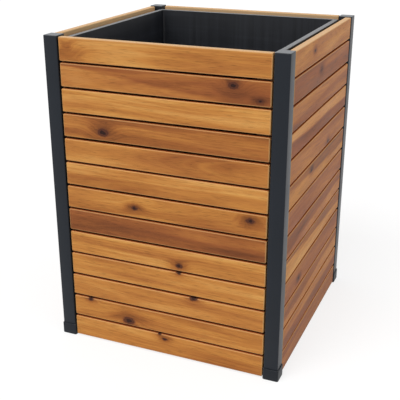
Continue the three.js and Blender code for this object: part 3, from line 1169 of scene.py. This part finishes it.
# %% Drive the screws
def screw_tree():
    tree, given = new_tree(
        "screw_grid", Blank="Object", Rows="Int", Step="Vector", Columns="Int", Spacing="Vector",
        Pair="Vector", Start="Vector", Seed="Int", Finish="Material",
    )
    pair, row, columns = (
        add(tree, "GeometryNodeMeshLine", {"Count": count, "Offset": step}, mode="OFFSET")
        for count, step in (
            (2, given["Pair"]), (given["Rows"], given["Step"]), (given["Columns"], given["Spacing"]),
        )
    )
    on_rows = add(tree, "GeometryNodeInstanceOnPoints", {"Points": row, "Instance": pair})
    on_columns = add(tree, "GeometryNodeInstanceOnPoints", {"Points": columns, "Instance": on_rows})
    grid = add(tree, "GeometryNodeRealizeInstances", {"Geometry": on_columns})
    points = add(tree, "GeometryNodeSetPosition", {"Geometry": grid, "Offset": given["Start"]})
    angle = add(tree, "FunctionNodeRandomValue", {
        "Max": math.tau, "Seed": given["Seed"],
    }, data_type="FLOAT")
    spin = add(tree, "ShaderNodeCombineXYZ", {"Y": angle.outputs[1]})
    blank = add(tree, "GeometryNodeObjectInfo", {"Object": given["Blank"]}).outputs["Geometry"]
    wall = add(tree, "GeometryNodeInstanceOnPoints", {
        "Points": points, "Instance": blank, "Rotation": spin,
    })
    four = add(tree, "GeometryNodeMeshLine", {"Count": 4, "Offset": (0, 0, 0)}, mode="OFFSET")
    walls_round = add(tree, "GeometryNodeInstanceOnPoints", {
        "Points": four, "Instance": wall, "Rotation": quarter_turns(tree),
    })
    return close_tree(tree, walls_round, given["Finish"])


screw_gap = 14 * MM
screws = run_tree("wall_screws", screw_tree(), {
    "Blank": screw_blank, "Rows": slat_count - 1, "Step": (0.0, 0.0, -slat_pitch),
    "Columns": battens_per_wall, "Spacing": (batten_step, 0.0, 0.0),
    "Pair": (screw_gap, 0.0, -screw_gap),
    "Start": (batten_start[0] - screw_gap / 2, batten_high.y, slat_start[2] + screw_gap / 2),
    "Seed": 3, "Finish": zinc("zinc_plate"),
})
seat(screws, "frame")
bpy.data.objects.remove(screw_blank)

# %% [markdown]
# The liner
#
# The liner is a tub of black polypropylene with a narrow flat rim and a short lip that
# turns down. A box with a thickened wall would miss that lip, so it is drawn with the same
# square loops: up the outside, over the rim and down the inside. Its plastic is smoother
# than that of the feet. Drawing it off the mould left faint upright marks. The real ones
# are about 1 mm wide. They are drawn about 7 mm wide, or they wouldn't show.

# %% Mould the liner
def moulded_tub(name, colour, roughness):
    """Satin black plastic with upright draw marks, and a pale painted sheen on what faces up."""
    material, tree = new_material(name)
    place = add(tree, "ShaderNodeTexCoord").outputs["Object"]
    upright = add(tree, "ShaderNodeVectorMath", (place, (150.0, 150.0, 3.0)), operation="MULTIPLY")
    draw_marks = add(tree, "ShaderNodeTexNoise", {"Vector": upright, "Scale": 1.0, "Detail": 4.0})
    level = add(tree, "ShaderNodeVectorMath", (place, (3.0, 3.0, 60.0)), operation="MULTIPLY")
    scuffs = add(tree, "ShaderNodeTexNoise", {"Vector": level, "Scale": 1.0, "Detail": 5.0})
    waves = add(tree, "ShaderNodeTexNoise", {"Vector": place, "Scale": 18.0, "Detail": 1.0})
    shade = add(tree, "ShaderNodeMapRange", {
        "Value": draw_marks, "From Min": 0.35, "From Max": 0.75, "To Min": 0.85, "To Max": 1.5,
    })
    marks = add(tree, "ShaderNodeMapRange", {
        "Value": scuffs, "From Min": 0.55, "From Max": 0.75, "To Min": 1.0, "To Max": 1.5,
    })
    shade = add(tree, "ShaderNodeMath", (shade, marks), operation="MULTIPLY")
    tint = add(tree, "ShaderNodeVectorMath", {0: linear(colour)[:3], "Scale": shade}, operation="SCALE")
    # Painted sheen: what faces up, mostly the rim, is mixed towards pale grey in patches of the scuff
    # noise.
    on_top = add(tree, "ShaderNodeMath", (facing_up(tree), 0.7), operation="GREATER_THAN")
    rim_sheen = add(tree, "ShaderNodeMapRange", {
        "Value": scuffs, "From Min": 0.2, "From Max": 0.8, "To Min": 0.25, "To Max": 0.55,
    })
    rim_sheen = add(tree, "ShaderNodeMath", (rim_sheen, on_top), operation="MULTIPLY")
    tint = add(tree, "ShaderNodeMix", {0: rim_sheen, 6: tint, 7: linear("#9a9c9f")}, data_type="RGBA")
    gloss = add(tree, "ShaderNodeMapRange", {
        "Value": draw_marks, **noise_span, "To Min": roughness - 0.06, "To Max": roughness + 0.06,
    })
    relief = add(tree, "ShaderNodeBump", {"Height": draw_marks, "Strength": 0.25, "Distance": 0.2 * MM})
    relief = add(tree, "ShaderNodeBump", {
        "Height": waves, "Strength": 0.3, "Distance": 2.0 * MM, "Normal": relief,
    })
    shader = add(tree, "ShaderNodeBsdfPrincipled", {
        "Base Color": tint, "Roughness": gloss, "Normal": relief, "Specular IOR Level": 0.35,
    })
    add(tree, "ShaderNodeOutputMaterial", {"Surface": shader})
    return material


low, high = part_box("liner")
rim_half, rim_top, liner_bottom = high.x / MM, high.z / MM, low.z / MM
rim_width, rim_plate, lip_height, tub_wall = 9.0, 1.5, 8.0, 2.0
rim_corner, tub_corner = 8.0, 6.0
tub_half = rim_half - rim_width
liner = square_skin("liner_tub", (
    (0.5 * tub_half, tub_corner, liner_bottom, 0),
    (tub_half, tub_corner, liner_bottom, 4.0),
    (tub_half, tub_corner, rim_top - rim_plate, 0.8),
    (rim_half - rim_plate, rim_corner - rim_plate, rim_top - rim_plate, 1.0),
    (rim_half - rim_plate, rim_corner - rim_plate, rim_top - lip_height, 0.4),
    (rim_half, rim_corner, rim_top - lip_height, 0.4),
    (rim_half, rim_corner, rim_top, 1.6),
    (tub_half - tub_wall, tub_corner - tub_wall, rim_top, 1.2),
    (tub_half - tub_wall, tub_corner - tub_wall, liner_bottom + tub_wall, 5.0),
    (0.5 * tub_half, tub_corner, liner_bottom + tub_wall, 0),
))
liner.data.materials.append(moulded_tub("liner_polypropylene", "#191b20", roughness=0.42))
bpy.context.scene.collection.objects.link(liner)
print("liner faces before drilling:", len(liner.data.polygons))

# %% [markdown]
# Drain holes
#
# Four holes let water out through the liner's floor, above the gaps between the base
# boards. Holes could be left out of the skin, but its loops run round the tub and not round
# a hole. So four short rods are cut out of the floor.

# %% Drill the drain holes
drain_radius = 6 * MM
drain_reach = 130 * MM
board_nodes = sorted(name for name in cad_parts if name.startswith("base_board_"))
board_low, board_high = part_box(board_nodes[0])
board_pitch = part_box(board_nodes[1])[0].x - board_low.x
gap_place = (len(board_nodes) / 2 - 1) * board_pitch
bm = bmesh.new()
for x in (-gap_place, gap_place):
    for y in (-drain_reach, drain_reach):
        middle = Matrix.Translation((x, y, (liner_bottom + tub_wall / 2) * MM))
        bmesh.ops.create_cone(
            bm, cap_ends=True, segments=24, radius1=drain_radius, radius2=drain_radius,
            depth=4 * tub_wall * MM, matrix=middle)
drill = in_scene("drill", mesh_from(bm, "drill"))
cut = liner.modifiers.new("drain_holes", "BOOLEAN")
cut.operation = "DIFFERENCE"
cut.solver = "EXACT"
cut.object = drill
keep_result(liner)
bpy.data.objects.remove(drill)
seat(liner, "liner", ["liner"])

# %% [markdown]
# The base
#
# Out of sight, a ring of steel bars joins the posts, and five boards lie across it to
# carry the liner. A view from below or with the liner lifted shows them. The bars are the
# measured ones with the posts' powder coat. The boards are sawn acacia from the row tree,
# lying flat with their grain from front to back.

# %% Lay the base
board_size = board_high - board_low
lying = Matrix.Rotation(math.radians(120), 4, (1, 1, 1))
board_blank = wood_blank(
    "board_blank", board_size.y, board_size.z, board_size.x, edge_radius=0.8 * MM, turned=lying)
lay_boards(
    "base_boards", board_blank, sawn, board_nodes,
    random_boards(chance, first, len(board_nodes), knots_seen),
    first=first, turn=0, start=tuple((board_low + board_high) / 2), step=(board_pitch, 0.0, 0.0))
bpy.data.objects.remove(board_blank)
for side in ("front", "back", "left", "right"):
    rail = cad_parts[f"base_rail_{side}"]
    for slot in rail.material_slots:
        slot.material = powder_coat
    print(rail.name, "is coated")
